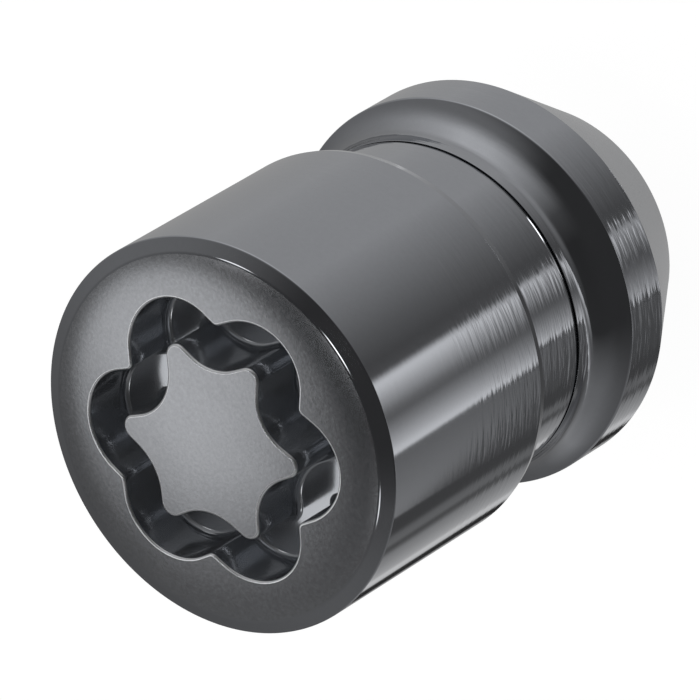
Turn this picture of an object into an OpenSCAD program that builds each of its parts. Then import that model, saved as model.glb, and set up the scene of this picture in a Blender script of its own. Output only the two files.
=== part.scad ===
// Locking wheel nut: round closed head with a wavy key groove, waisted neck, cone seat, blind thread.
// The nut stands on its flat rear end with the head up. The origin is the centre of that end.

/* [Thread] */
// Nominal diameter of the stud thread
thread_d = 12; // [10:1:13]
// Thread pitch
pitch = 1.5; // [1:0.25:1.75]
// Depth of the full-size bore, from the rear end
bore_l = 20; // [14:0.5:22]
// Included angle of the drill point that closes the bore
drill_angle = 118; // [90:1:140]
// How far the countersink at the bore mouth stands out beyond the thread
sink_margin = 0.3; // [0.1:0.05:0.6]

/* [Seat and flange] */
// Diameter of the flat rear end
nose_d = 14.8; // [14.4:0.1:17]
// Included angle of the cone seat
seat_angle = 60; // [50:1:90]
// Diameter of the flange above the seat
flange_d = 22; // [19:0.1:25]
// Height of the flange rim
rim_h = 2.95; // [1:0.05:5]

/* [Neck] */
// Depth of the neck below the smaller of flange and head
waist_depth = 1.425; // [0.5:0.025:2.5]
// Straight length of the neck, from the turned line to the head shoulder
neck_l = 3.9; // [1:0.1:6]
// Length of the plain landing between the flare and the turned line
landing_h = 0.6; // [0.2:0.05:2]
// Width of the line turned around the foot of the neck
line_w = 0.2; // [0.1:0.05:0.6]
// Depth of that line
line_depth = 0.3; // [0.1:0.05:0.6]
// Radius of the hollow flare from the neck out to the flange
flare_r = 2.5; // [0.8:0.1:4]
// Radius of the hollow shoulder from the neck out to the head
shoulder_r = 1.2; // [0.8:0.1:4]

/* [Head] */
// Diameter of the head
head_d = 22; // [18.5:0.1:25]
// Length of the plain cylinder of the head
head_l = 13.8; // [11:0.1:18]
// Width of the bevel around the head face, across the radius
bevel_w = 0.74; // [0.3:0.02:1]
// Height of that bevel, along the axis
bevel_h = 0.4; // [0.3:0.02:1]
// Rise of the slightly domed face above its edge
dome_h = 0.85; // [0.2:0.05:1.2]

/* [Key groove] */
// Depth of the groove below the edge of the head face
key_depth = 2.85; // [2:0.05:5]
// Width of the groove
groove_w = 2.42; // [1.8:0.02:2.5]
// Distance from the axis to the centres of the island tips
tip_ring = 4.82; // [4.3:0.02:5]
// Radius of the island tips
tip_r = 0.7; // [0.3:0.05:1]
// Radius of the points between the lobes of the outer wall
cusp_r = 0.45; // [0.2:0.05:0.8]
// Straight length of each flank between a tip and a valley
flank = 0.65; // [0.1:0.05:1.2]
// Extra angle by which the two lobes beside the index gap are spread
index_spread = 5; // [0:1:7]
// Direction of the index gap around the axis
key_turn = 20; // [0:1:359]

/* [Hidden] */
$fn = 96;
// Room by which a cut runs past the surface that it opens
over = 1;
// Small overrun where a straight edge meets an arc, so that the two cross at a clean corner
lap = 0.002;
lobes = 6;

// Radii from the rear end to the face
nose_r = nose_d / 2;
flange_r = flange_d / 2;
head_r = head_d / 2;
neck_r = min(flange_r, head_r) - waist_depth;
face_r = head_r - bevel_w;

// An ISO metric internal thread has its crests 5/8 of a sharp thread's height in from the major diameter
minor_r = (thread_d - 2 * 5 / 8 * pitch * cos(30)) / 2;
sink_r = thread_d / 2 + sink_margin;

// Axial length of a hollow fillet that a wall of the given height may cut short
function fillet_l(r, wall) = sqrt(r * r - pow(max(0, r - wall), 2));

// Heights above the rear end
rim_z = (flange_r - nose_r) / tan(seat_angle / 2);
flare_z = rim_z + rim_h;
landing_z = flare_z + fillet_l(flare_r, flange_r - neck_r);
line_z = landing_z + landing_h;
shoulder_z = line_z + line_w + neck_l;
head_z = shoulder_z + fillet_l(shoulder_r, head_r - neck_r);
bevel_z = head_z + head_l;
face_z = bevel_z + bevel_h;
top_z = face_z + dome_h;
dome_r = (face_r * face_r + dome_h * dome_h) / (2 * dome_h);
groove_z = face_z - key_depth;

// The key groove runs between two wavy walls that share the same centres: tips and cusps in turn.
// Each wall is a chain of arcs about those centres, joined by straight flanks tangent to both.
reach = tip_r + groove_w + cusp_r;
span = norm([reach, flank]);
function polar(r, a) = r * [cos(a), sin(a)];
function spread(i) = i == 0 ? index_spread : i == lobes - 1 ? -index_spread : 0;
function lobe_angle(i) = i < lobes ? key_turn + (i + 0.5) * 360 / lobes + spread(i) : 360 + lobe_angle(i - lobes);
function half_gap(i) = (lobe_angle(i + 1) - lobe_angle(i)) / 2;
function tip(i) = polar(tip_ring, lobe_angle(i));
function cusp(i) = let (h = half_gap(i))
    polar(tip_ring * cos(h) + sqrt(span * span - pow(tip_ring * sin(h), 2)), lobe_angle(i) + h);
// Direction from a tip, or back from a cusp, to where the flank between them touches both arcs
function flank_normal(from, to, side) = let (d = to - from)
    polar(1, atan2(d.y, d.x) - side * acos(reach / span));

module key_wall(tip_arc, cusp_arc) {
    corners = [for (i = [0 : lobes - 1])
        let (rising = flank_normal(tip(i), cusp(i), 1), falling = flank_normal(tip(i + 1), cusp(i), -1))
        each [
            tip(i) + (tip_arc - lap) * rising,
            cusp(i) - (cusp_arc - lap) * rising,
            cusp(i) - (cusp_arc - lap) * falling,
            tip(i + 1) + (tip_arc - lap) * falling
        ]];
    difference() {
        union() {
            polygon(corners);
            for (i = [0 : lobes - 1]) translate(tip(i)) circle(tip_arc);
        }
        for (i = [0 : lobes - 1]) translate(cusp(i)) circle(cusp_arc);
    }
}

module key_groove() {
    translate([0, 0, groove_z])
        linear_extrude(top_z - groove_z + over)
            difference() {
                key_wall(tip_r + groove_w, cusp_r);
                key_wall(tip_r, cusp_r + groove_w);
            }
}

module waist_profile() {
    outside = max(head_r, flange_r) + over;
    translate([neck_r, landing_z])
        square([outside - neck_r, shoulder_z - landing_z]);
    for (end = [[flare_r, landing_z], [shoulder_r, shoulder_z]]) {
        translate([neck_r + end[0], end[1]]) circle(end[0]);
        // Past a small fillet the wall of the flange or head goes straight out
        if (neck_r + end[0] < outside)
            translate([neck_r + end[0], end[1] - end[0]])
                square([outside - neck_r - end[0], 2 * end[0]]);
    }
    translate([neck_r - line_depth, line_z])
        square([line_depth + over, line_w]);
}

module turned_profile() {
    difference() {
        intersection() {
            // The bevel runs on by the lap, so that the dome cuts it off at a clean corner
            polygon([
                [0, 0],
                [nose_r, 0],
                [flange_r, rim_z],
                [flange_r, landing_z],
                [head_r, landing_z],
                [head_r, bevel_z],
                [face_r - lap, face_z + lap * bevel_h / bevel_w],
                [face_r - lap, top_z + over],
                [0, top_z + over]
            ]);
            translate([0, top_z - dome_r]) circle(dome_r, $fn = 4 * $fn);
        }
        waist_profile();
    }
}

module threaded_bore() {
    point_h = minor_r / tan(drill_angle / 2);
    translate([0, 0, -over]) cylinder(h = bore_l + over, r = minor_r);
    translate([0, 0, bore_l]) cylinder(h = point_h, r1 = minor_r, r2 = 0);
    // The countersink is a right-angled cone, so it is as deep as it is wide
    translate([0, 0, -over]) cylinder(h = sink_r + over, r1 = sink_r + over, r2 = 0);
}

module wheel_nut() {
    color([0.22, 0.23, 0.24])
        difference() {
            rotate_extrude() turned_profile();
            threaded_bore();
            key_groove();
        }
}

wheel_nut();
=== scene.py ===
"""Locking wheel nut: its dressed model, the floor that it stands on, the light and the camera."""

import logging
import math
from dataclasses import dataclass, field
from enum import Enum
from typing import Any, Mapping, Optional, Sequence, Union

import bpy
import numpy as np
from mathutils import Matrix, Vector


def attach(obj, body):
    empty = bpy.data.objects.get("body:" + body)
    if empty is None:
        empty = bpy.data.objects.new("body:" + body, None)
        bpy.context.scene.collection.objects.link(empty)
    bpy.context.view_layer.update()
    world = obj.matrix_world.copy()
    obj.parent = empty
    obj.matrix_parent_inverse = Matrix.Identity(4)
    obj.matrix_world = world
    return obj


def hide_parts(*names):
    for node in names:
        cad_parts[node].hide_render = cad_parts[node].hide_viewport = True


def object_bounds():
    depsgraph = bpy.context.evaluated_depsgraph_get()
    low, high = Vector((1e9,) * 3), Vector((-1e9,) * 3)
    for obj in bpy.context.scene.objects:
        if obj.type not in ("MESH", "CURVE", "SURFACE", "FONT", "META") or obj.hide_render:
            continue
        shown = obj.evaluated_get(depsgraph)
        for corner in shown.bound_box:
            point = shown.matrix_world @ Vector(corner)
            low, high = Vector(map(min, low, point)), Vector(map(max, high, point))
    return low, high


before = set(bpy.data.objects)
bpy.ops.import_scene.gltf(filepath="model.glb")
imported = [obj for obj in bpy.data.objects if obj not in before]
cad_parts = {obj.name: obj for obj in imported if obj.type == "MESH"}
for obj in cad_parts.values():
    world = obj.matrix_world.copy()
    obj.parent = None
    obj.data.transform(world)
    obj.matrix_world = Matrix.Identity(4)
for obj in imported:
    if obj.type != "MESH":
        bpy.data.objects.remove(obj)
cad_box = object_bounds()

MM = 0.001
log = logging.getLogger("wheel_nut")


class Zone(Enum):
    """The parts of the nut's skin that have a finish of their own, in the order of its material slots."""

    TURNED = 0
    SATIN = 1
    GROOVE = 2
    BORE = 3
    # The groove's rounded mouth edges, whose light tint is a painted highlight.
    EDGE = 4


# Node trees


class Wire:
    """A number on an output socket. Python's operators on it add Math nodes to its tree."""

    def __init__(self, board: "Board", socket: Optional[bpy.types.NodeSocket]) -> None:
        """Wraps a socket.

        Args:
            board: the node tree that the socket is in.
            socket: the output socket, or None for a node that has none.
        """
        self.board = board
        self.socket = socket

    def _math(self, operation: str, *operands: "Number") -> "Wire":
        """Adds one Math node.

        Args:
            operation: the node's operation.
            operands: the values of its sockets, in order.

        Returns:
            The node's result.
        """
        return self.board.node("ShaderNodeMath", {"operation": operation}, dict(enumerate(operands)))

    def __add__(self, other: "Number") -> "Wire":
        """The sum of two values."""
        return self._math("ADD", self, other)

    def __radd__(self, other: "Number") -> "Wire":
        """The sum of a number and this value."""
        return self._math("ADD", other, self)

    def __sub__(self, other: "Number") -> "Wire":
        """This value less another."""
        return self._math("SUBTRACT", self, other)

    def __rsub__(self, other: "Number") -> "Wire":
        """A number less this value."""
        return self._math("SUBTRACT", other, self)

    def __mul__(self, other: "Number") -> "Wire":
        """The product of two values."""
        return self._math("MULTIPLY", self, other)

    def __rmul__(self, other: "Number") -> "Wire":
        """The product of a number and this value."""
        return self._math("MULTIPLY", other, self)

    def __pow__(self, other: "Number") -> "Wire":
        """This value raised to a power."""
        return self._math("POWER", self, other)

    def atan2(self, x: "Number") -> "Wire":
        """The angle whose tangent is this value over x, in radians."""
        return self._math("ARCTAN2", self, x)

    def arcsine(self) -> "Wire":
        """The angle whose sine is this value, in radians."""
        return self._math("ARCSINE", self)

    def wrap(self, low: float, high: float) -> "Wire":
        """This value brought into a range by whole turns of it."""
        return self._math("WRAP", self, high, low)


Number = Union[Wire, float]


class Board:
    """The node tree of a material or of the world."""

    def __init__(self, tree: bpy.types.NodeTree) -> None:
        """Starts with an empty tree.

        Args:
            tree: the tree to build in.
        """
        self.tree = tree
        tree.nodes.clear()

    def node(
        self,
        kind: str,
        settings: Optional[Mapping[str, Any]] = None,
        inputs: Optional[Mapping[Any, Any]] = None,
        output: Union[int, str] = 0,
    ) -> Wire:
        """Adds any node.

        Args:
            kind: the node's type.
            settings: its properties, which are set first. The stops of a ramp are (place, strength) pairs.
            inputs: for each socket, by name or number, a value or the wire that feeds it.
            output: the socket that the result is taken from.

        Returns:
            The wire of that socket.
        """
        made = self.tree.nodes.new(kind)
        for name, value in (settings or {}).items():
            if name == "stops":
                self._set_stops(made.color_ramp, value)
            else:
                setattr(made, name, value)
        for name, value in (inputs or {}).items():
            if isinstance(value, Wire):
                self.tree.links.new(value.socket, made.inputs[name])
            else:
                made.inputs[name].default_value = value
        return Wire(self, made.outputs[output]) if made.outputs else Wire(self, None)

    @staticmethod
    def _set_stops(ramp: bpy.types.ColorRamp, stops: Sequence[tuple[float, float]]) -> None:
        """Gives a ramp its stops.

        Args:
            ramp: the ramp.
            stops: (place, strength) pairs, from left to right.
        """
        for place, _ in stops[2:]:
            ramp.elements.new(place)
        for element, (place, strength) in zip(ramp.elements, stops):
            element.position = place
            element.color = (strength, strength, strength, 1.0)

    def smooth_step(self, value: Number, start: float, end: float) -> Wire:
        """A value's soft step from 0 at the start to 1 at the end.

        Args:
            value: the value.
            start: where the step begins.
            end: where it ends. It may lie below the start.

        Returns:
            The step.
        """
        return self.node(
            "ShaderNodeMapRange",
            {"interpolation_type": "SMOOTHSTEP"},
            {"Value": value, "From Min": start, "From Max": end},
        )

    def blend(self, factor: Number, low: Number, high: Number) -> Wire:
        """Mixes two numbers.

        Args:
            factor: the share of the second.
            low: the first number.
            high: the second number.

        Returns:
            The mixed number.
        """
        return self.node("ShaderNodeMix", None, {0: factor, 2: low, 3: high})


# Finishes


@dataclass(frozen=True)
class TurningMarks:
    """Fine grooves that run around the axis, left by a lathe tool. Lengths are in millimetres.

    They grow faint above a height, where the tool was sharper, and are at their full depth below another.
    Towards the rear they are deeper still.
    """

    pitch: float
    run: float
    depth: float
    cone_share: float = 0.35
    faint_above: float = 25.5
    full_below: float = 21.0
    faintest: float = 0.08
    deeper_above: float = 14.5
    deepest_below: float = 12.5
    deepest: float = 1.9

    def height(self, board: Board) -> Wire:
        """The height of the marks over the surface, from 0 to 1.

        The marks follow z and, more slowly, the distance from the axis, so that they also ring a flat end.

        Args:
            board: the material's tree.

        Returns:
            The height.
        """
        place = board.node("ShaderNodeTexCoord", output="Object")
        x, y, z = (board.node("ShaderNodeSeparateXYZ", None, {0: place}, axis) for axis in "XYZ")
        radius = (x * x + y * y) ** 0.5
        along = (z + radius * self.cone_share) * (1 / (self.pitch * MM))
        around = 1 / (self.run * MM)
        spot = board.node("ShaderNodeCombineXYZ", None, {0: x * around, 1: y * around, 2: along})
        wave = board.node(
            "ShaderNodeTexNoise",
            None,
            {"Vector": spot, "Scale": 1.0, "Detail": 2.0, "Roughness": 0.55},
        )
        height = z * (1 / MM)
        cut = board.smooth_step(height, self.faint_above, self.full_below)
        rear = board.smooth_step(height, self.deeper_above, self.deepest_below)
        depth = board.blend(cut, self.faintest, 1.0) * board.blend(rear, 1.0, self.deepest)
        return (wave - 0.5) * depth + 0.5


@dataclass(frozen=True)
class Mottle:
    """The fine, even grain of a satin surface. The grain is in millimetres."""

    grain: float
    depth: float

    def height(self, board: Board) -> Wire:
        """The height of the grain, from 0 to 1.

        Args:
            board: the material's tree.

        Returns:
            The height.
        """
        place = board.node("ShaderNodeTexCoord", output="Object")
        return board.node(
            "ShaderNodeTexNoise",
            None,
            {"Vector": place, "Scale": 1 / (self.grain * MM), "Detail": 4.0, "Roughness": 0.6},
        )


@dataclass(frozen=True)
class DarkPlate:
    """Dark nickel-chrome plate on steel, with the marks and grain of the surface under it.

    The tint varies by its spread to both sides, with the grain, the marks and larger patches. The
    roughness varies with the grain and the marks. The shares of the grain and of the marks in each are
    fields, and the rest comes from what is left.
    """

    name: str
    tint: tuple[float, float, float]
    roughness: float
    roughness_spread: float
    marks: TurningMarks
    mottle: Mottle
    tint_spread: float = 0.06
    metal: float = 1.0
    patch_scale: float = 260.0
    grain_in_tint: float = 0.6
    marks_in_tint: float = 0.2
    grain_in_roughness: float = 0.6

    def make(self) -> bpy.types.Material:
        """Builds the material.

        Returns:
            The material.
        """
        material = bpy.data.materials.new(self.name)
        material.use_nodes = True
        board = Board(material.node_tree)
        lines = self.marks.height(board)
        grain = self.mottle.height(board)
        patches = board.node(
            "ShaderNodeTexNoise",
            None,
            {
                "Vector": board.node("ShaderNodeTexCoord", output="Object"),
                "Scale": self.patch_scale,
                "Detail": 3.0,
            },
        )
        patches_in_tint = 1 - self.grain_in_tint - self.marks_in_tint
        shade = grain * self.grain_in_tint + lines * self.marks_in_tint + patches * patches_in_tint
        darker = tuple(part * (1 - self.tint_spread) for part in self.tint)
        lighter = tuple(part * (1 + self.tint_spread) for part in self.tint)
        colour = board.node(
            "ShaderNodeMix",
            {"data_type": "RGBA"},
            {0: shade, 6: (*darker, 1.0), 7: (*lighter, 1.0)},
            2,
        )
        uneven = grain * self.grain_in_roughness + lines * (1 - self.grain_in_roughness)
        rough = self.roughness + (uneven - 0.5) * self.roughness_spread
        relief = lines * self.marks.depth + grain * self.mottle.depth
        bump = board.node("ShaderNodeBump", None, {"Strength": 1.0, "Distance": MM, "Height": relief})
        surface = board.node(
            "ShaderNodeBsdfPrincipled",
            None,
            {"Base Color": colour, "Metallic": self.metal, "Roughness": rough, "Normal": bump},
        )
        board.node("ShaderNodeOutputMaterial", None, {"Surface": surface})
        return material


FINISHES: dict[Zone, DarkPlate] = {
    Zone.TURNED: DarkPlate(
        name="turned_plate",
        tint=(0.294, 0.302, 0.321),
        roughness=0.06,
        roughness_spread=0.04,
        marks=TurningMarks(pitch=0.30, run=2.5, depth=0.0034),
        mottle=Mottle(grain=0.3, depth=0.0002),
    ),
    Zone.SATIN: DarkPlate(
        name="satin_plate",
        tint=(0.290, 0.297, 0.312),
        roughness=0.22,
        roughness_spread=0.08,
        marks=TurningMarks(pitch=0.3, run=9.0, depth=0.0006),
        mottle=Mottle(grain=0.20, depth=0.0035),
        tint_spread=0.42,
    ),
    Zone.GROOVE: DarkPlate(
        name="groove_plate",
        tint=(0.420, 0.434, 0.458),
        roughness=0.12,
        roughness_spread=0.05,
        marks=TurningMarks(pitch=0.5, run=12.0, depth=0.0012),
        mottle=Mottle(grain=0.35, depth=0.0010),
        metal=0.76,
    ),
    Zone.BORE: DarkPlate(
        name="bore_steel",
        tint=(0.250, 0.254, 0.262),
        roughness=0.34,
        roughness_spread=0.10,
        marks=TurningMarks(pitch=0.2, run=14.0, depth=0.0012),
        mottle=Mottle(grain=0.25, depth=0.0015),
    ),
    # The groove's rounded mouth edges: their light tint is a painted highlight, not the plate's own colour.
    Zone.EDGE: DarkPlate(
        name="edge_painted_highlight",
        tint=(0.74, 0.75, 0.77),
        roughness=0.28,
        roughness_spread=0.05,
        marks=TurningMarks(pitch=0.5, run=12.0, depth=0.0006),
        mottle=Mottle(grain=0.2, depth=0.001),
    ),
}


# Shapes


class Skin:
    """One closed surface, laid down as rings of points, each joined to the one before it.

    Going along the rings, the open air is on the left of a section through the wall: from the middle of
    the face outwards, down the outside and up the bore. Points are in millimetres until the mesh is made.
    """

    def __init__(self) -> None:
        """Starts with no points."""
        self.points: list[np.ndarray] = []
        self.normals: list[np.ndarray] = []
        self.faces: list[list[int]] = []
        self.zones: list[int] = []
        self.count = 0
        self.last: Optional[np.ndarray] = None

    def ring(self, points: np.ndarray, normals: Optional[np.ndarray], zone: Zone) -> None:
        """Adds a ring and joins it to the last one.

        Args:
            points: the ring's points, anticlockwise from above, or a single point that closes the surface.
            normals: a unit normal for each point, or None to take them from the faces.
            zone: the finish of the faces that join the two rings.
        """
        points = np.atleast_2d(points)
        ids = np.arange(self.count, self.count + len(points))
        self.count += len(points)
        self.points.append(points)
        self.normals.append(np.zeros_like(points) if normals is None else np.atleast_2d(normals))
        if self.last is not None:
            made = self._join(self.last, ids)
            self.faces.extend(made)
            self.zones.extend([zone.value] * len(made))
        self.last = ids

    @staticmethod
    def _join(above: np.ndarray, below: np.ndarray) -> list[list[int]]:
        """The faces between two rings.

        One ring may have a single point, or an even number of times as many points as the other. Then
        thin triangles join each span of the dense ring to the nearest point of the sparse one, and wide
        ones fill the rest.

        Args:
            above: the point numbers of the first ring.
            below: those of the second.

        Returns:
            The point numbers of each face.
        """
        if len(above) == len(below):
            return np.stack([above, below, np.roll(below, -1), np.roll(above, -1)], axis=1).tolist()
        if len(above) == 1:
            return [[int(above[0]), int(a), int(b)] for a, b in zip(below, np.roll(below, -1))]
        if len(below) == 1:
            return [[int(a), int(below[0]), int(b)] for a, b in zip(above, np.roll(above, -1))]
        dense, sparse = (above, below) if len(above) > len(below) else (below, above)
        step = len(dense) // len(sparse)
        fine = np.arange(len(dense))
        middle = dense[np.arange(len(sparse)) * step + step // 2]
        pairs = np.stack([dense, np.roll(dense, -1)], axis=1)
        rim = np.stack([sparse, np.roll(sparse, -1)], axis=1)
        near = sparse[((2 * fine + 1 + step) // (2 * step)) % len(sparse)]
        if dense is above:
            thin = np.stack([pairs[:, 0], near, pairs[:, 1]], axis=1)
            wide = np.stack([middle, rim[:, 0], rim[:, 1]], axis=1)
        else:
            thin = np.stack([near, pairs[:, 0], pairs[:, 1]], axis=1)
            wide = np.stack([rim[:, 0], middle, rim[:, 1]], axis=1)
        return thin.tolist() + wide.tolist()

    def piece(self, name: str, materials: Sequence[bpy.types.Material]) -> bpy.types.Object:
        """Makes the Blender object.

        Args:
            name: the object's name.
            materials: one material for each zone, in order.

        Returns:
            The object, in metres.
        """
        mesh = bpy.data.meshes.new(name)
        mesh.from_pydata((np.vstack(self.points) * MM).tolist(), [], self.faces)
        mesh.polygons.foreach_set("use_smooth", [True] * len(self.faces))
        mesh.polygons.foreach_set("material_index", self.zones)
        for material in materials:
            mesh.materials.append(material)
        mesh.update()
        normals = np.vstack(self.normals)
        plain = np.empty(len(normals) * 3, np.float32)
        mesh.vertex_normals.foreach_get("vector", plain)
        bare = np.abs(normals).sum(axis=1) == 0
        normals[bare] = plain.reshape(-1, 3)[bare]
        mesh.normals_split_custom_set_from_vertices(normals.tolist())
        made = bpy.data.objects.new(name, mesh)
        bpy.context.collection.objects.link(made)
        return made


def unit(vectors: np.ndarray) -> np.ndarray:
    """Vectors brought to a length of one."""
    return vectors / np.linalg.norm(vectors, axis=-1, keepdims=True)


def polar(radius: float, angle: float) -> np.ndarray:
    """A point in the plane from its radius and its angle in degrees."""
    return radius * np.array([math.cos(math.radians(angle)), math.sin(math.radians(angle))])


def shares(spans: int) -> np.ndarray:
    """The ends of a number of equal spans, as shares of the whole."""
    return np.linspace(0, 1, spans + 1)[1:]


def heading(vector: np.ndarray) -> float:
    """The direction of a vector in the plane, in degrees."""
    return math.degrees(math.atan2(vector[1], vector[0]))


@dataclass
class Section:
    """The section of a turned surface: rows of (radius, height, radial normal, axial normal).

    Rows nearer to a rounded corner than the clearance times the length of the round are left out.
    """

    rows: np.ndarray = field(default_factory=lambda: np.empty((0, 4)))
    edge_steps: int = 6
    clearance: float = 1.02

    def straight(
        self,
        start: tuple[float, float],
        end: tuple[float, float],
        edge: float = 0.0,
        steps: int = 1,
    ) -> None:
        """Adds a straight stretch.

        Args:
            start: where it starts, as radius and height.
            end: where it ends.
            edge: the radius that rounds the corner before it.
            steps: how many spans it is divided into.
        """
        ends = np.array([start, end], float)
        run = unit(ends[1] - ends[0])
        share = np.linspace(0, 1, steps + 1)[:, None]
        points = ends[0] + share * (ends[1] - ends[0])
        self._add(np.hstack([points, np.tile([-run[1], run[0]], (steps + 1, 1))]), edge)

    def hollow(
        self,
        centre: tuple[float, float],
        start: tuple[float, float],
        end: tuple[float, float],
        steps: int = 18,
    ) -> None:
        """Adds a hollow arc, whose centre is in the open air and which runs on from the stretch before it.

        Args:
            centre: the arc's centre, as radius and height.
            start: where it starts.
            end: where it ends, less than half a turn further.
            steps: how many spans it is divided into.
        """
        middle = np.array(centre)
        first, last = (heading(np.array(spot) - middle) for spot in (start, end))
        turn = (last - first + 180) % 360 - 180
        size = float(np.linalg.norm(np.array(start) - middle))
        out = np.array([polar(1.0, first + turn * i / steps) for i in range(steps + 1)])
        self._add(np.hstack([middle + size * out, -out]), 0.0)

    def _add(self, leg: np.ndarray, edge: float) -> None:
        """Adds a stretch and rounds the corner where it starts.

        Args:
            leg: the stretch's rows.
            edge: the radius of the corner, or 0 where the stretch runs on smoothly.
        """
        if not len(self.rows):
            self.rows = leg
            return
        if edge == 0:
            self.rows = np.vstack([self.rows[:-1], leg])
            return
        corner, before, after = leg[0, :2], self.rows[-1, 2:], leg[0, 2:]
        cross = before[0] * after[1] - before[1] * after[0]
        turn = math.atan2(cross, before @ after)
        back = edge * math.tan(abs(turn) / 2)
        clear = back * self.clearance
        kept = self.rows[np.linalg.norm(self.rows[:, :2] - corner, axis=1) > clear]
        leg = leg[np.linalg.norm(leg[:, :2] - corner, axis=1) > clear]
        side = -1.0 if turn < 0 else 1.0
        first = corner - back * np.array([before[1], -before[0]])
        middle = first + side * edge * before
        step = math.degrees(turn) / self.edge_steps
        arc = [polar(1.0, heading(before) + step * i) for i in range(self.edge_steps + 1)]
        rounded = np.array([[*(middle - side * edge * out), *out] for out in arc])
        self.rows = np.vstack([kept, rounded, leg])


@dataclass(frozen=True)
class Stroke:
    """One stretch of the wall around the island: an arc, or a straight flank where it has an end.

    The length is that along the middle of the groove. The size is the wall's distance from the centre,
    and is below zero on a hollow arc. The angle is the direction of the normal at the start, in degrees.
    """

    length: float
    centre: np.ndarray
    size: float
    angle: float
    turn: float = 0.0
    end: Optional[np.ndarray] = None

    def at(self, share: float) -> tuple[np.ndarray, np.ndarray]:
        """A point of the stretch.

        Args:
            share: how far along the stretch it lies, from 0 to 1.

        Returns:
            The point, and the unit normal there, away from the island.
        """
        out = polar(1.0, self.angle + self.turn * share)
        point = self.centre + self.size * out
        if self.end is not None:
            point = point + share * (self.end - point)
        return point, out


@dataclass
class KeyGroove:
    """The wavy groove that the key turns the nut by. Its depth is that below the edge of the face.

    Lengths are in millimetres.
    """

    tip_ring: float = 4.82
    tip_r: float = 0.7
    cusp_r: float = 0.45
    flank: float = 0.65
    width: float = 2.42
    spread: float = 5.0
    turn: float = 20.0
    lobes: int = 6
    depth: float = 2.85
    edge_r: float = 0.14
    root_r: float = 0.4

    def _lobe(self, index: int) -> float:
        """The direction of a lobe. The two beside the index gap are spread.

        Args:
            index: the lobe's number, from the index gap on. Numbers past the last lobe go round again.

        Returns:
            Its direction, in degrees.
        """
        turns, place = divmod(index, self.lobes)
        shift = {0: self.spread, self.lobes - 1: -self.spread}.get(place, 0.0)
        return 360 * turns + self.turn + (place + 0.5) * 360 / self.lobes + shift

    def _tip(self, index: int) -> np.ndarray:
        """The centre of an island tip's arc."""
        return polar(self.tip_ring, self._lobe(index))

    def _reach(self) -> tuple[float, float]:
        """How the centres of a tip and of a cusp beside it lie to each other.

        Returns:
            The distance between them, and how far a flank leans from the line between, in degrees.
        """
        across = self.tip_r + self.width + self.cusp_r
        span = math.hypot(across, self.flank)
        return span, math.degrees(math.acos(across / span))

    def _cusp(self, index: int) -> np.ndarray:
        """The centre of the arc between a lobe and the next one.

        Args:
            index: the lobe's number.

        Returns:
            The centre.
        """
        half = (self._lobe(index + 1) - self._lobe(index)) / 2
        near = self.tip_ring * math.cos(math.radians(half))
        side = self.tip_ring * math.sin(math.radians(half))
        return polar(near + math.sqrt(self._reach()[0] ** 2 - side**2), self._lobe(index) + half)

    def outline(self, count: int) -> tuple[np.ndarray, np.ndarray]:
        """The island's wall, from which every other line of the groove lies at an even distance.

        Args:
            count: how many points to place, evenly along the middle of the groove.

        Returns:
            The points, starting at the index gap, and the unit normal at each, away from the island.
        """
        lean = self._reach()[1]
        middle, hollow = self.width / 2, -(self.cusp_r + self.width)
        strokes: list[Stroke] = []
        for i in range(self.lobes):
            tip, cusp, after, before = self._tip(i), self._cusp(i), self._tip(i + 1), self._cusp(i - 1)
            fallen = heading(before - tip) + lean
            rise = heading(cusp - tip) - lean
            fall = heading(cusp - after) + lean
            around_tip, around_cusp = (rise - fallen) % 360, (rise - fall) % 360
            tip_l = math.radians(around_tip) * (self.tip_r + middle)
            cusp_l = math.radians(around_cusp) * (self.cusp_r + middle)
            strokes += [
                Stroke(tip_l, tip, self.tip_r, fallen, around_tip),
                Stroke(self.flank, tip, self.tip_r, rise, end=cusp + polar(hollow, rise)),
                Stroke(cusp_l, cusp, hollow, rise, -around_cusp),
                Stroke(self.flank, cusp, hollow, fall, end=after + polar(self.tip_r, fall)),
            ]
        ends = np.cumsum([stroke.length for stroke in strokes])
        points, normals = [], []
        for place in np.arange(count) * ends[-1] / count:
            number = int(np.searchsorted(ends, place, side="right"))
            point, normal = strokes[number].at(1 - (ends[number] - place) / strokes[number].length)
            points.append(point)
            normals.append(normal)
        angles = np.degrees(np.arctan2(*np.array(points).T[::-1]))
        first = int(np.argmin(np.abs((angles - self.turn + 180) % 360 - 180)))
        return np.roll(np.array(points), -first, axis=0), np.roll(np.array(normals), -first, axis=0)


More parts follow.
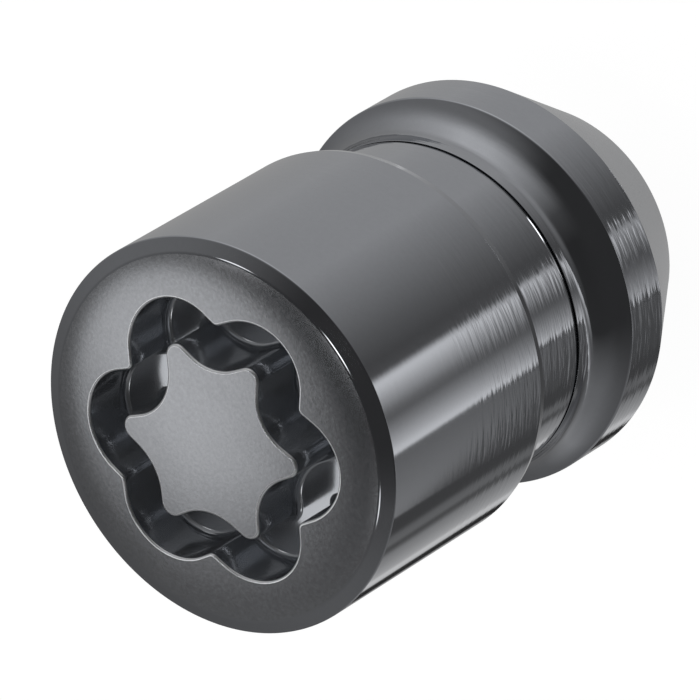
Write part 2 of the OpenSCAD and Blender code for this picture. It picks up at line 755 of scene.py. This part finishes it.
@dataclass
class StudThread:
    """The blind bore with its right-handed thread. Lengths are in millimetres.

    The crest's half width and the flank's width are shares of the pitch. The drill point gets a ring at
    each of its shares of the bore's radius.
    """

    major_r: float = 6.0
    minor_r: float = 5.188
    pitch: float = 1.5
    full_l: float = 17.2
    fade_l: float = 1.6
    bore_l: float = 20.0
    tip_z: float = 23.12
    mouth_r: float = 6.3
    crest_half: float = 0.125
    flank: float = 0.3125
    rows_per_turn: int = 16
    around: int = 120
    point_shares: tuple[float, ...] = (0.98, 0.5, 0.1)

    def radius(self, angles: np.ndarray, z: float) -> np.ndarray:
        """The bore's radius at one height.

        Args:
            angles: directions around the axis, in radians.
            z: the height above the rear end.

        Returns:
            The radius in each direction.
        """
        phase = (z / self.pitch - angles / (2 * math.pi)) % 1.0
        from_crest = np.minimum(phase, 1 - phase)
        groove = np.clip((from_crest - self.crest_half) / self.flank, 0, 1)
        fade = float(np.clip((self.full_l + self.fade_l - z) / self.fade_l, 0, 1))
        cut = self.minor_r + (self.major_r - self.minor_r) * groove * fade
        return np.maximum(cut, self.mouth_r - z)

    def lay(self, skin: Skin, start_z: float, turn: float) -> None:
        """Adds the bore to the skin, from its mouth to its closed end.

        Args:
            skin: the skin, whose last ring is the countersink's at the given height.
            start_z: that height.
            turn: the direction of the first point of each ring, in degrees.
        """
        angles = math.radians(turn) + np.arange(self.around) * 2 * math.pi / self.around
        step = self.pitch / self.rows_per_turn
        heights = np.append(np.arange(start_z + step, self.bore_l - step / 2, step), self.bore_l)
        levels = [(self.radius(angles, z), z) for z in heights]
        levels += [
            (np.full(self.around, self.minor_r * share), self.tip_z - share * (self.tip_z - self.bore_l))
            for share in self.point_shares
        ]
        for r, z in levels:
            ring = np.column_stack([r * np.cos(angles), r * np.sin(angles), np.full(self.around, z)])
            skin.ring(ring, None, Zone.BORE)
        skin.ring(np.array([0.0, 0.0, self.tip_z]), np.array([0.0, 0.0, -1.0]), Zone.BORE)


@dataclass
class WheelNut:
    """The whole nut: domed face with its key groove, turned outside and blind bore.

    Lengths are in millimetres. Heights are worked out from the top of the plain solid downwards.

    The face rolls off towards its rim from roll_from on, and reaches roll_slope there. A short cone
    breaks the head's rear edge, and another the neck's edge above the turned line. A part of the outside
    whose normal points below seat_below is satin. The fields that end in edge are the radii of rounded
    edges, and those that end in spans say how finely a part of the skin is divided. The island's inner
    rings have an eighth, a quarter, a half and all of the fine count of points.
    """

    node: str = "wheel_nut"
    groove: KeyGroove = field(default_factory=KeyGroove)
    bore: StudThread = field(default_factory=StudThread)
    top_z: float = cad_box[1][2] / MM
    dome_h: float = 0.85
    bevel_w: float = 0.74
    bevel_h: float = 0.4
    head_r: float = 11.0
    head_l: float = 13.8
    rear_h: float = 0.45
    rear_tilt: float = 14.5
    shoulder_r: float = 1.2
    waist_depth: float = 1.425
    neck_l: float = 3.9
    break_h: float = 0.13
    break_tilt: float = 7.0
    line_w: float = 0.2
    line_depth: float = 0.3
    landing_h: float = 0.6
    flare_r: float = 2.5
    rim_h: float = 2.95
    nose_r: float = 7.4
    seat_below: float = -0.45
    roll_from: float = 8.0
    roll_slope: float = 0.12
    lip: float = 0.12
    sink_step: float = 0.3
    face_edge: float = 0.72
    bevel_edge: float = 0.12
    rear_edge: float = 0.03
    shoulder_edge: float = 0.03
    line_edge: float = 0.03
    rim_edge: float = 0.16
    seat_edge: float = 0.06
    nose_edge: float = 0.2
    mouth_edge: float = 0.08
    edge_steps: int = 6
    fine: int = 480
    coarse: int = 240
    island_radii: tuple[float, ...] = (0.35, 0.9, 1.5, 2.1)
    island_spans: int = 12
    wall_spans: int = 8
    floor_spans: int = 4
    face_spans: int = 14
    head_spans: int = 8
    neck_spans: int = 2
    rim_spans: int = 2
    seat_spans: int = 4
    neck_r: float = field(init=False)
    face_z: float = field(init=False)
    bevel_z: float = field(init=False)
    head_z: float = field(init=False)
    shoulder_z: float = field(init=False)
    line_z: float = field(init=False)
    landing_z: float = field(init=False)
    flare_z: float = field(init=False)
    rim_z: float = field(init=False)

    def __post_init__(self) -> None:
        """Works out the neck's radius and the heights above the rear end."""
        self.neck_r = self.head_r - self.waist_depth
        self.face_z = self.top_z - self.dome_h
        self.bevel_z = self.face_z - self.bevel_h
        self.head_z = self.bevel_z - self.head_l
        self.shoulder_z = self.head_z - self.shoulder_r
        self.line_z = self.shoulder_z - self.neck_l - self.line_w
        self.landing_z = self.line_z - self.landing_h
        self.flare_z = self.landing_z - math.sqrt(self.flare_r**2 - (self.flare_r - self.waist_depth) ** 2)
        self.rim_z = self.flare_z - self.rim_h

    def _angles(self, count: int) -> np.ndarray:
        """The direction of each point of a round ring, in radians, from the index gap on."""
        return math.radians(self.groove.turn) + np.arange(count) * 2 * math.pi / count

    def _circle(self, radius: float, count: int) -> np.ndarray:
        """The points of a circle in the plane."""
        angles = self._angles(count)
        return radius * np.column_stack([np.cos(angles), np.sin(angles)])

    def _on_dome(self, flat: np.ndarray) -> tuple[np.ndarray, np.ndarray]:
        """Lifts points of the plane onto the domed face, which rolls off more steeply near its rim.

        Args:
            flat: the points in the plane.

        Returns:
            The points on the face and the unit normals there.
        """
        rim = self.head_r - self.bevel_w
        ball = (rim**2 + self.dome_h**2) / (2 * self.dome_h)
        centre_z = self.face_z + self.dome_h - ball
        radius = np.sqrt((flat**2).sum(axis=1))
        rise = np.sqrt(ball**2 - radius**2)
        rolled = np.clip((radius - self.roll_from) / (rim - self.roll_from), 0, None)
        drop = self.roll_slope * (rim - self.roll_from) * rolled**3 / 3
        steeper = self.roll_slope * rolled**2 / np.maximum(radius, self.roll_from)
        points = np.column_stack([flat, centre_z + rise - drop])
        return points, unit(np.column_stack([flat * (1 / rise + steeper)[:, None], np.ones(len(flat))]))

    def _lay_island(self, skin: Skin, wall: np.ndarray, out: np.ndarray) -> None:
        """Adds the top of the island inside the groove.

        Args:
            skin: the skin, still empty.
            wall: the points of the island's wall.
            out: the normals there, away from the island.
        """
        top, up = self._on_dome(np.zeros((1, 2)))
        skin.ring(top, up, Zone.SATIN)
        last = len(self.island_radii) - 1
        for number, radius in enumerate(self.island_radii):
            skin.ring(*self._on_dome(self._circle(radius, self.fine // 2 ** (last - number))), Zone.SATIN)
        inside, edge = self._circle(self.island_radii[last], self.fine), wall - self.groove.edge_r * out
        for share in shares(self.island_spans):
            skin.ring(*self._on_dome(inside + share * (edge - inside)), Zone.SATIN)

    def _lay_groove(self, skin: Skin, wall: np.ndarray, out: np.ndarray) -> None:
        """Adds the groove, from the island's edge over the floor to the edge of the face.

        Args:
            skin: the skin, whose last ring is the island's edge.
            wall: the points of the island's wall.
            out: the normals there, away from the island.
        """
        groove = self.groove
        turn = np.radians(90) * shares(self.edge_steps)
        side = np.column_stack([out, np.zeros(len(out))])
        up = np.broadcast_to((0.0, 0.0, 1.0), side.shape)
        floor_z = self.face_z - groove.depth
        root_z = floor_z + groove.root_r

        def place(away: float, heights: Union[float, np.ndarray], normals: np.ndarray, zone: Zone) -> None:
            """Adds a ring at one distance from the island's wall."""
            flat = wall + away * out
            skin.ring(np.column_stack([flat, np.broadcast_to(heights, len(flat))]), unit(normals), zone)

        face, face_up = self._on_dome(wall - groove.edge_r * out)
        edge_z = face[:, 2] - groove.edge_r
        # The island's rounded edge takes the edge zone, whose light tint is a painted highlight.
        for angle in turn:
            away = groove.edge_r * (math.sin(angle) - 1)
            z = edge_z + groove.edge_r * math.cos(angle)
            place(away, z, face_up * math.cos(angle) + side * math.sin(angle), Zone.EDGE)
        for share in shares(self.wall_spans):
            place(0.0, edge_z + share * (root_z - edge_z), side, Zone.GROOVE)
        for angle in turn:
            away = groove.root_r * (1 - math.cos(angle))
            z = root_z - groove.root_r * math.sin(angle)
            place(away, z, side * math.cos(angle) + up * math.sin(angle), Zone.GROOVE)
        for share in shares(self.floor_spans):
            away = groove.root_r + share * (groove.width - 2 * groove.root_r)
            place(away, floor_z, up, Zone.GROOVE)
        for angle in turn:
            away = groove.width - groove.root_r * (1 - math.sin(angle))
            z = root_z - groove.root_r * math.cos(angle)
            place(away, z, up * math.cos(angle) - side * math.sin(angle), Zone.GROOVE)
        face, face_up = self._on_dome(wall + (groove.width + groove.edge_r) * out)
        edge_z = face[:, 2] - groove.edge_r
        for share in shares(self.wall_spans):
            place(groove.width, root_z + share * (edge_z - root_z), -side, Zone.GROOVE)
        # The face's rounded edge over the groove takes the edge zone, whose light tint is a painted
        # highlight.
        for angle in turn:
            away = groove.width + groove.edge_r * (1 - math.cos(angle))
            z = edge_z + groove.edge_r * math.sin(angle)
            place(away, z, face_up * math.sin(angle) - side * math.cos(angle), Zone.EDGE)

    def _lay_face(self, skin: Skin, wall: np.ndarray, out: np.ndarray) -> None:
        """Adds the ring of face around the groove.

        Args:
            skin: the skin, whose last ring is the groove's outer edge.
            wall: the points of the island's wall.
            out: the normals there, away from the island.
        """
        inner = wall + (self.groove.width + self.groove.edge_r) * out
        outer = self._circle(self.head_r - self.bevel_w - self.lip, self.fine)
        for share in shares(self.face_spans):
            skin.ring(*self._on_dome(inner + share * (outer - inner)), Zone.SATIN)

    def _outside(self) -> Section:
        """Draws the section of the outside.

        Returns:
            The section, from the rim of the face to the mouth of the bore.
        """
        rim = self.head_r - self.bevel_w
        lip_z, rim_z = self._on_dome(np.array([[rim - self.lip, 0.0], [rim, 0.0]]))[0][:, 2]
        line_r = self.neck_r - self.line_depth
        line_top = self.line_z + self.line_w
        break_z = line_top + self.break_h
        rear_z = self.head_z + self.rear_h
        rear_r = self.head_r - self.rear_h * math.tan(math.radians(self.rear_tilt))
        broken_r = self.neck_r - self.break_h * math.tan(math.radians(self.break_tilt))
        inner_r = self.neck_r + self.shoulder_r
        flare_r = self.neck_r + self.flare_r
        sunk_r = self.bore.mouth_r - self.sink_step
        section, line_edge, head_r = Section(edge_steps=self.edge_steps), self.line_edge, self.head_r
        section.straight((rim - self.lip, lip_z), (rim, rim_z))
        section.straight((rim, rim_z), (head_r, self.bevel_z), self.face_edge)
        section.straight((head_r, self.bevel_z), (head_r, rear_z), self.bevel_edge, self.head_spans)
        section.straight((head_r, rear_z), (rear_r, self.head_z), self.rear_edge)
        section.straight((rear_r, self.head_z), (inner_r, self.head_z), self.shoulder_edge)
        section.hollow((inner_r, self.shoulder_z), (inner_r, self.head_z), (self.neck_r, self.shoulder_z))
        section.straight((self.neck_r, self.shoulder_z), (self.neck_r, break_z), steps=self.neck_spans)
        section.straight((self.neck_r, break_z), (broken_r, line_top), line_edge)
        section.straight((broken_r, line_top), (line_r, line_top), line_edge)
        section.straight((line_r, line_top), (line_r, self.line_z), line_edge)
        section.straight((line_r, self.line_z), (self.neck_r, self.line_z), line_edge)
        section.straight((self.neck_r, self.line_z), (self.neck_r, self.landing_z), line_edge)
        section.hollow((flare_r, self.landing_z), (self.neck_r, self.landing_z), (head_r, self.flare_z))
        section.straight((head_r, self.flare_z), (head_r, self.rim_z), self.rim_edge, self.rim_spans)
        section.straight((head_r, self.rim_z), (self.nose_r, 0.0), self.seat_edge, self.seat_spans)
        section.straight((self.nose_r, 0.0), (self.bore.mouth_r, 0.0), self.nose_edge)
        section.straight((self.bore.mouth_r, 0.0), (sunk_r, self.sink_step), self.mouth_edge)
        return section

    def build(self) -> bpy.types.Object:
        """Builds the nut and puts it in the place of its plain solid.

        Returns:
            The nut's object.
        """
        skin = Skin()
        wall, out = self.groove.outline(self.fine)
        self._lay_island(skin, wall, out)
        self._lay_groove(skin, wall, out)
        self._lay_face(skin, wall, out)
        angles = self._angles(self.coarse)
        around = np.column_stack([np.cos(angles), np.sin(angles)])
        for radius, z, out_r, out_z in self._outside().rows[1:]:
            flat = np.column_stack([radius * around, np.full(self.coarse, z)])
            zone = Zone.SATIN if out_z < self.seat_below else Zone.TURNED
            skin.ring(flat, np.column_stack([out_r * around, np.full(self.coarse, out_z)]), zone)
        self.bore.lay(skin, self.sink_step, self.groove.turn)
        nut = skin.piece("dressed_nut", [FINISHES[zone].make() for zone in Zone])
        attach(nut, "root")
        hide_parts(self.node)
        return nut


# Surroundings


@dataclass(frozen=True)
class Strip:
    """An upright strip of studio light or shade beside the nut.

    It runs from one azimuth to another, in degrees from +X towards +Y, with a strength at each end.
    """

    start: float
    end: float
    at_start: float
    at_end: float


@dataclass(frozen=True)
class Panel:
    """A round soft panel of light in one direction. Angles are in degrees.

    It is evenly bright within the half angle of its core and has faded out at that of its edge.
    """

    azimuth: float
    elevation: float
    core: float
    edge: float
    strength: float

    def over(self, board: Board, ray: Wire, behind: Number) -> Wire:
        """Lays the panel over what lies behind it.

        Args:
            board: the world's tree.
            ray: the direction looked in.
            behind: the strength behind the panel.

        Returns:
            The strength with the panel.
        """
        a, e = math.radians(self.azimuth), math.radians(self.elevation)
        towards = (math.cos(a) * math.cos(e), math.sin(a) * math.cos(e), math.sin(e))
        ends = {0: ray, 1: towards}
        near = board.node("ShaderNodeVectorMath", {"operation": "DOT_PRODUCT"}, ends, "Value")
        edge, core = (math.cos(math.radians(angle)) for angle in (self.edge, self.core))
        return board.blend(board.smooth_step(near, edge, core), behind, self.strength)


@dataclass(frozen=True)
class Card:
    """A long card of light or shade low beside the nut. Angles are in degrees.

    It runs from its start towards a larger azimuth, between a low and a high elevation, and its lower
    edge may fall along its length. A cover below 1 lets some of what lies behind it through.
    """

    start: float
    length: float
    low: float
    high: float
    at_start: float
    at_end: float
    fall: float = 0.0
    cover: float = 1.0
    soft: float = 0.15
    end_fade: float = 1.0

    def over(self, board: Board, azimuth: Wire, elevation: Wire, behind: Number) -> Wire:
        """Lays the card over what lies behind it.

        Args:
            board: the world's tree.
            azimuth: the azimuth looked in.
            elevation: the elevation looked in.
            behind: the strength behind the card.

        Returns:
            The strength with the card.
        """
        along = (azimuth - (self.start - self.end_fade)).wrap(0, 360) * (1 / self.length)
        fade = 2 * self.end_fade / self.length
        ends = board.smooth_step(along, 0, fade) * board.smooth_step(along, 1 + fade, 1)
        above = board.smooth_step(elevation + along * self.fall, self.low - self.soft, self.low + self.soft)
        below = board.smooth_step(elevation, self.high + self.soft, self.high - self.soft)
        own = board.blend(along, self.at_start, self.at_end)
        return board.blend(ends * above * below * self.cover, behind, own)


@dataclass(frozen=True)
class Side:
    """A broad soft light that fills one side of the sky.

    It grows from its start to its full strength at its end, measured along a level direction.
    """

    towards: tuple[float, float]
    start: float
    end: float
    strength: float

    def share(self, board: Board, x: Wire, y: Wire) -> Wire:
        """The strength that it adds.

        Args:
            board: the world's tree.
            x: the x part of the direction looked in.
            y: its y part.

        Returns:
            The strength.
        """
        along = x * self.towards[0] + y * self.towards[1]
        return board.smooth_step(along, self.start, self.end) * self.strength


@dataclass
class Studio:
    """The pale floor, the backdrop and the soft light around the nut.

    Lengths are in metres and angles in degrees.

    The light is a low ring of strips, which leans by strip_lean for each degree above strip_height, then
    a middle ring, and the sky above it. Each pair of heights says where one fades into the next. The
    floor lies a hair below the nut, so that the two surfaces don't fall together.
    """

    floor_r: float = 1.25
    floor_hole_r: float = 0.05
    floor_z: float = -0.00002
    backdrop_r: float = 1.3
    backdrop_angles: Sequence[int] = range(2, 100, 7)
    around: int = 64
    strips: tuple[Strip, ...] = (
        Strip(-180, -152, 0.155, 0.19),
        Strip(-150.5, -145, 1.70, 1.10),
        Strip(-138, -131, 0.62, 0.27),
        Strip(-127, -119, 0.36, 0.95),
        Strip(-113, -110.5, 1.50, 1.65),
        Strip(-107.5, -100, 0.19, 0.16),
        Strip(-85, -40, 0.27, 0.70),
        Strip(20, 86, 0.66, 0.30),
        Strip(88, 103, 0.30, 0.35),
        Strip(105, 116, 0.03, 0.03),
        Strip(118, 124, 0.75, 0.90),
        Strip(127, 144, 0.62, 0.42),
        Strip(148.5, 151, 0.15, 0.15),
        Strip(153, 158, 0.30, 0.28),
        Strip(161, 171, 0.12, 0.12),
        Strip(175, 180, 0.155, 0.155),
    )
    strip_lean: float = -2.0
    strip_height: float = -48.0
    walls: tuple[Strip, ...] = (
        Strip(-180, -166, 0.36, 0.24),
        Strip(-150, -99, 0.07, 0.06),
        Strip(-82, -65, 0.15, 0.50),
        Strip(-49, -33, 0.80, 1.08),
        Strip(-17, -2, 1.14, 0.90),
        Strip(14, 30, 0.70, 0.50),
        Strip(60, 90, 0.28, 0.17),
        Strip(120, 134, 0.20, 0.28),
        Strip(148, 155, 0.56, 0.50),
        Strip(168, 180, 0.40, 0.36),
    )
    full_strength: float = 2.0
    low_to_middle: tuple[float, float] = (-44.0, -24.0)
    middle_to_sky: tuple[float, float] = (-5.0, 38.0)
    sky_strength: float = 0.07
    sides: tuple[Side, ...] = (Side((1.0, 0.2), 0.20, 0.75, 0.29), Side((-0.75, 0.65), 0.25, 0.85, 0.20))
    cards: tuple[Card, ...] = (
        Card(171, 37, low=-47.85, high=-45, at_start=0.55, at_end=0.32, fall=1.6),
        Card(-152, 48, low=-60, high=-49.2, at_start=0.15, at_end=0.15, cover=0.6, soft=0.6),
        Card(115, 120, low=-85, high=-56, at_start=0.13, at_end=0.13, soft=1.5, end_fade=6),
        Card(-105, 125, low=-85, high=-63, at_start=0.15, at_end=0.60, soft=1.5, end_fade=6),
    )
    floor_panels: tuple[Panel, ...] = (
        Panel(90, -70, 16, 23, 0.50),
        Panel(-80, -62, 3.5, 6, 4.5),
        Panel(27, -59, 3, 5.5, 2.5),
    )
    sky_panels: tuple[Panel, ...] = (
        Panel(80, 47.5, 8, 17, 1.35),
        Panel(57, 86, 3, 5, 5.0),
        Panel(36, 61, 3, 4.5, 3.0),
        Panel(145.5, 60, 3, 5, 2.5),
    )

    def _ring(self, board: Board, strips: Sequence[Strip], azimuth: Wire) -> Wire:
        """A ring of strips around the nut.

        Args:
            board: the world's tree.
            strips: the strips, from left to right.
            azimuth: the azimuth looked in, in degrees.

        Returns:
            The ring's strength there.
        """
        ends = [(strip.start, strip.at_start) for strip in strips]
        ends += [(strip.end, strip.at_end) for strip in strips]
        stops = [((place + 180) / 360, strength / self.full_strength) for place, strength in sorted(ends)]
        ramp = board.node("ShaderNodeValToRGB", {"stops": stops}, {0: (azimuth + 180) * (1 / 360)})
        return ramp * self.full_strength

    def light(self) -> None:
        """Sets up the world: two rings of strips, with cards and panels before them, and a sky."""
        world = bpy.data.worlds.new("studio_light")
        world.use_nodes = True
        bpy.context.scene.world = world
        board = Board(world.node_tree)
        ray = board.node("ShaderNodeTexCoord", output="Generated")
        x, y, z = (board.node("ShaderNodeSeparateXYZ", None, {0: ray}, axis) for axis in "XYZ")
        degrees = 180 / math.pi
        elevation = z.arcsine() * degrees
        azimuth = y.atan2(x) * degrees
        leaned = (azimuth - (elevation - self.strip_height) * self.strip_lean).wrap(-180, 180)
        low = self._ring(board, self.strips, leaned)
        for card in self.cards:
            low = card.over(board, azimuth, elevation, low)
        for panel in self.floor_panels:
            low = panel.over(board, ray, low)
        middle = self._ring(board, self.walls, azimuth)
        sky = self.sky_strength
        for side in self.sides:
            sky = side.share(board, x, y) + sky
        for panel in self.sky_panels:
            sky = panel.over(board, ray, sky)
        shade = board.blend(board.smooth_step(elevation, *self.low_to_middle), low, middle)
        shade = board.blend(board.smooth_step(elevation, *self.middle_to_sky), shade, sky)
        glow = board.node("ShaderNodeBackground", None, {"Color": shade, "Strength": 1.0})
        board.node("ShaderNodeOutputWorld", None, {"Surface": glow})

    @staticmethod
    def _pale(name: str, glow: float, albedo: float) -> bpy.types.Material:
        """A plain pale material that glows a little, so that shadows on it stay soft.

        Args:
            name: its name.
            glow: the strength of the glow.
            albedo: how much of the light it scatters.

        Returns:
            The material.
        """
        material = bpy.data.materials.new(name)
        material.use_nodes = True
        board = Board(material.node_tree)
        lit = board.node("ShaderNodeBsdfDiffuse", None, {"Color": (albedo, albedo, albedo, 1.0)})
        own = board.node("ShaderNodeEmission", None, {"Strength": glow})
        both = board.node("ShaderNodeAddShader", None, {0: lit, 1: own})
        board.node("ShaderNodeOutputMaterial", None, {"Surface": both})
        return material

    def _surround(
        self,
        name: str,
        rings: Sequence[tuple[float, float]],
        material: bpy.types.Material,
    ) -> bpy.types.Object:
        """Makes a round stage piece that only the camera sees. The nut doesn't mirror it.

        Args:
            name: the object's name.
            rings: (radius, height) of each ring, in metres, from the middle outwards.
            material: its material.

        Returns:
            The object.
        """
        count = self.around
        angles = np.arange(count) * 2 * math.pi / count
        points = [(r * math.cos(a), r * math.sin(a), z) for r, z in rings for a in angles]
        faces = [list(range(count))]
        for first in range(0, (len(rings) - 1) * count, count):
            for i in range(count):
                j = (i + 1) % count
                faces.append([first + i, first + j, first + count + j, first + count + i])
        mesh = bpy.data.meshes.new(name)
        mesh.from_pydata(points, [], faces)
        mesh.materials.append(material)
        mesh.update()
        made = bpy.data.objects.new(name, mesh)
        bpy.context.collection.objects.link(made)
        made.visible_glossy = False
        made.visible_diffuse = False
        made.visible_shadow = False
        return made

    def floor(self) -> bpy.types.Object:
        """Lays the pale floor under the nut."""
        rings = ((self.floor_hole_r, self.floor_z), (self.floor_r, self.floor_z))
        return self._surround("floor", rings, self._pale("pale_floor", glow=0.96, albedo=0.2))

    def backdrop(self) -> bpy.types.Object:
        """Closes the view above the floor with a pale dome.

        Returns:
            The dome's object.
        """
        turns = [math.radians(angle) for angle in self.backdrop_angles]
        rings = [(self.backdrop_r * math.sin(turn), self.backdrop_r * math.cos(turn)) for turn in turns]
        return self._surround("backdrop", rings, self._pale("pale_backdrop", glow=1.0, albedo=0.0))


@dataclass
class Viewpoint:
    """The camera, at the photograph's viewing angle. Lengths are in millimetres and angles in degrees."""

    target: tuple[float, float, float] = (0.405, 1.451, 17.511)
    distance: float = 488.2
    azimuth: float = -1.128
    elevation: float = 48.058
    roll: float = -121.0
    lens: float = 473.9
    sensor: float = 36.0
    near: float = 10.0
    far: float = 10000.0

    def place(self) -> bpy.types.Object:
        """Makes the camera.

        Returns:
            The camera's object.
        """
        a, e, r = (math.radians(angle) for angle in (self.azimuth, self.elevation, self.roll))
        back = Vector((math.sin(a) * math.cos(e), -math.cos(a) * math.cos(e), math.sin(e)))
        level = Vector((math.cos(a), math.sin(a), 0.0))
        upright = back.cross(level)
        right = level * math.cos(r) + upright * math.sin(r)
        up = upright * math.cos(r) - level * math.sin(r)
        data = bpy.data.cameras.new("viewpoint")
        data.lens = self.lens
        data.sensor_width = self.sensor
        data.clip_start, data.clip_end = self.near * MM, self.far * MM
        camera = bpy.data.objects.new("viewpoint", data)
        place = (Vector(self.target) + back * self.distance) * MM
        camera.matrix_world = Matrix.Translation(place) @ Matrix((right, up, back)).transposed().to_4x4()
        bpy.context.collection.objects.link(camera)
        bpy.context.scene.camera = camera
        return camera


def main() -> None:
    """Builds everything in order and reports each piece."""
    logging.basicConfig(level=logging.INFO, format="%(name)s: %(message)s")
    Viewpoint().place()
    nut = WheelNut().build()
    log.info("%s has %d faces", nut.name, len(nut.data.polygons))
    studio = Studio()
    studio.light()
    for piece in (studio.floor(), studio.backdrop()):
        log.info("%s is in place", piece.name)
    bpy.context.scene.view_settings.view_transform = "Standard"


if __name__ == "__main__":
    main()
